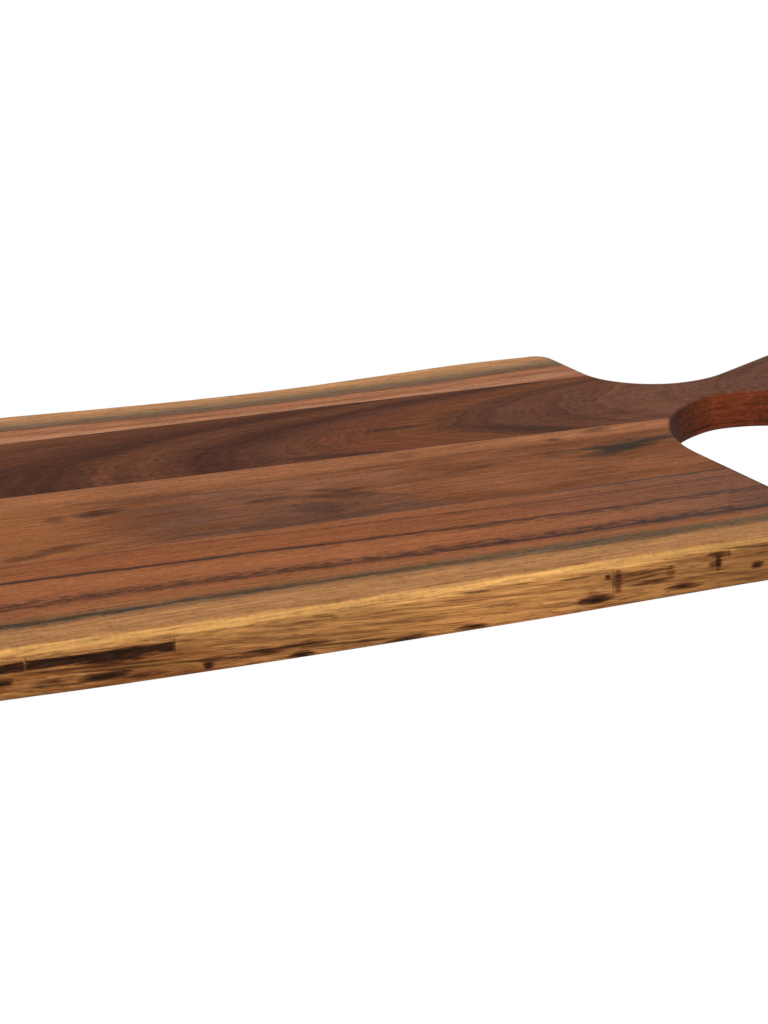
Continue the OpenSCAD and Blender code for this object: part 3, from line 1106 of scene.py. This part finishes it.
def middle_finish():
    """Warm brown wood with smoky stains."""
    material, place, (x, y, z) = start_wood("smoky_brown_wood")
    cloud = streaks(place, (70, 22), 41)
    pale_end = blot(x, y, (66, 9, 62, 6, -0.02), centred(cloud, 0.6))
    colour = lay_coats(
        warm_brown, (pale_brown, fade(cloud, 0.35, 0.65)), (left_orange, fade(x, -175, -245), 0.7),
        (upper_tan, fade(y, -2, 9), 0.75), (sweep_tan, pale_end, 0.48))
    swirl = plus(y, wander(place, (90, 60), 44, 22, detail=1.0))
    colour = shade(colour, ring_lines(place, swirl, 6, 0.16, 62))
    colour = smoke_under_bow(colour, place, x, y)
    ragged = wander(place, (14, 5), 50, 1.0, detail=4.0)
    colour = lay_over(colour, sheen_pink, blot(x, y, (-102, -11, 60, 8, -0.10), ragged), 0.20)
    stain_colour = lay_over(left_stain, right_stain, fade(x, -150, 10))
    for *spot, strength in smoke_stains.values():
        colour = lay_over(colour, stain_colour, blot(x, y, spot, ragged), strength)
    colour = handle_wall(colour, x, y, z, facing(place, "Z"))
    return finish_wood(material, place, colour, (66, 37, 27), 0.7, seed=60)


middle_wood = middle_finish()

# %% [markdown]
# The far stave has tan sapwood at its live edge, a grey-green streak where the sap
# meets the heart, and pinkish brown heartwood inside. It is striped like the near
# stave, so it is read from a chart across the board as well. Its stripes bow inwards
# along with the hollow of the live edge.

# %% Far stave finish
far_stripes = [
    (60, 160, 98, 66), (98, 162, 101, 69), (104, 188, 130, 97), (108, 192, 133, 97),
    (112, 167, 104, 69), (116, 184, 121, 85), (119.5, 176, 115, 80), (121.5, 122, 84, 60),
    (124, 128, 99, 75), (127.5, 130, 102, 78), (131, 152, 119, 86), (134, 182, 132, 90),
    (138, 196, 142, 96), (144, 208, 150, 102), (150, 217, 158, 106), (158, 208, 148, 94),
]
bow_middle = -76
bow_half = 160
bow_depth = 8
far_brown = paint(118, 75, 54)


def far_finish():
    """Pinkish brown heartwood, a grey-green streak and tan sapwood."""
    material, place, (x, y, z) = start_wood("tan_sapwood")
    off_middle = squared(calc("MULTIPLY_ADD", x, 1 / bow_half, -bow_middle / bow_half))
    bow = times(calc("MINIMUM", off_middle, 1.0), bow_depth)
    across = minus(plus(y, 2.4), bow)
    across = plus(across, wander(place, (110, 26), 71, 2.5))
    across = plus(across, wander(place, (16, 3), 74, 1.2))
    colour = colour_chart(across, far_stripes)
    inner = times(patches(place, (90, 4.5), 77, 0.45, 0.65), fade(across, 134, 122))
    colour = lay_over(colour, far_brown, inner, 0.20)
    on_wall = times(fade(facing(place, "Z"), 0.97, 0.6), fade(y, 138, 144))
    colour = lay_over(colour, live_wall(place, x, z, 80), on_wall)
    return finish_wood(material, place, colour, (120, 74, 50), 0.6, seed=90)


far_wood = far_finish()

# %% [markdown]
# A cured glue line is a hair of dark amber between two staves. It is too thin to
# show any figure, so it has a slow change of tone and the same satin as the wood.

# %% Glue finish
dark_amber = paint(66, 42, 30)
light_amber = paint(104, 68, 46)


def glue_finish():
    """Dark amber glue."""
    material, place, _ = start_wood("cured_glue")
    shader = material.node_tree.nodes["Principled BSDF"]
    tone = streaks(place, (30, 4), 101)
    feed(shader.inputs["Base Color"], lay_over(dark_amber, light_amber, tone))
    shader.inputs["Roughness"].default_value = oil_roughness
    return material


glue = glue_finish()
print(glue.name, "ready")

# %% Dress the board
finishes = {
    "far_stave_wood": far_wood,
    "heart_stave_wood": heart_wood,
    "middle_stave_wood": middle_wood,
    "near_stave_wood": near_wood,
    "wood_glue": glue,
}


def dress(node, bm, slot):
    """Makes a finished mesh the visible form of one solid."""
    name = "carved_" + node
    mesh = bpy.data.meshes.new(name)
    bm.to_mesh(mesh)
    bm.free()
    mesh.materials.append(finishes[slot])
    piece = bpy.data.objects.new(name, mesh)
    bpy.context.scene.collection.objects.link(piece)
    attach(piece, "root")
    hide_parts(node)
    return piece


for node, (bm, slot) in pieces.items():
    piece = dress(node, bm, slot)
    print(piece.name, len(piece.data.polygons), "faces in", slot)

# %% [markdown]
# The board lies on a plain pale floor in a white studio. The photograph shows hardly
# any shadow, so the light is very soft: a bright sky all round, one large soft lamp
# over the near left, and a weak one from the right that draws the rounded edges.

# %% Floor
floor_size = 6.0
floor_drop = 0.2 * mm
bpy.ops.mesh.primitive_plane_add(size=floor_size, location=(0, 0, -floor_drop))
floor = bpy.context.object
floor.name = "studio_floor"
floor_finish = bpy.data.materials.new("pale_floor")
floor_finish.use_nodes = True
floor_tree = floor_finish.node_tree
floor_shader = floor_tree.nodes["Principled BSDF"]
floor_shader.inputs["Base Color"].default_value = (0.9, 0.9, 0.9, 1)
floor_shader.inputs["Roughness"].default_value = 0.9
floor_shader.inputs["Specular IOR Level"].default_value = 0.1
floor.data.materials.append(floor_finish)


# %% Rays that see the white studio
def seen_directly(tree):
    """1 for rays from the camera, a mirror or through glass, and 0 for light."""
    path = tree.nodes.new("ShaderNodeLightPath")
    seen = calc("MAXIMUM", path.outputs["Is Camera Ray"], path.outputs["Is Glossy Ray"])
    return calc("MAXIMUM", seen, path.outputs["Is Transmission Ray"])


white = floor_tree.nodes.new("ShaderNodeEmission")
white.inputs["Color"].default_value = (1, 1, 1, 1)
blend_white = floor_tree.nodes.new("ShaderNodeMixShader")
feed(blend_white.inputs[0], seen_directly(floor_tree))
floor_tree.links.new(floor_shader.outputs[0], blend_white.inputs[1])
floor_tree.links.new(white.outputs[0], blend_white.inputs[2])
floor_tree.links.new(blend_white.outputs[0], floor_tree.nodes["Material Output"].inputs["Surface"])

# %% Sky
sky_level = 0.55
world = bpy.data.worlds.new("white_studio")
world.use_nodes = True
bpy.context.scene.world = world
sky_tree = world.node_tree
sky = sky_tree.nodes["Background"]
sky.inputs["Color"].default_value = (1, 1, 1, 1)
level = lay_over((sky_level,) * 3 + (1,), (1, 1, 1, 1), seen_directly(sky_tree))
sky_tree.links.new(level, sky.inputs["Color"])


# %% Lamps
def soft_lamp(name, place, aim, size, power):
    """A square lamp that points from its place to an aim."""
    data = bpy.data.lights.new(name, "AREA")
    data.size = size
    data.energy = power
    lamp = bpy.data.objects.new(name, data)
    lamp.location = place
    lamp.rotation_euler = (Vector(aim) - Vector(place)).to_track_quat("-Z", "Y").to_euler()
    bpy.context.scene.collection.objects.link(lamp)
    return lamp


board_middle = (-0.05, 0, 0)
soft_lamp("large_window", (-0.9, -1.1, 1.3), board_middle, 1.4, 13)
soft_lamp("right_fill", (1.1, -0.8, 0.9), board_middle, 0.9, 4)
bpy.context.scene.view_settings.view_transform = "Standard"
print("studio lit")
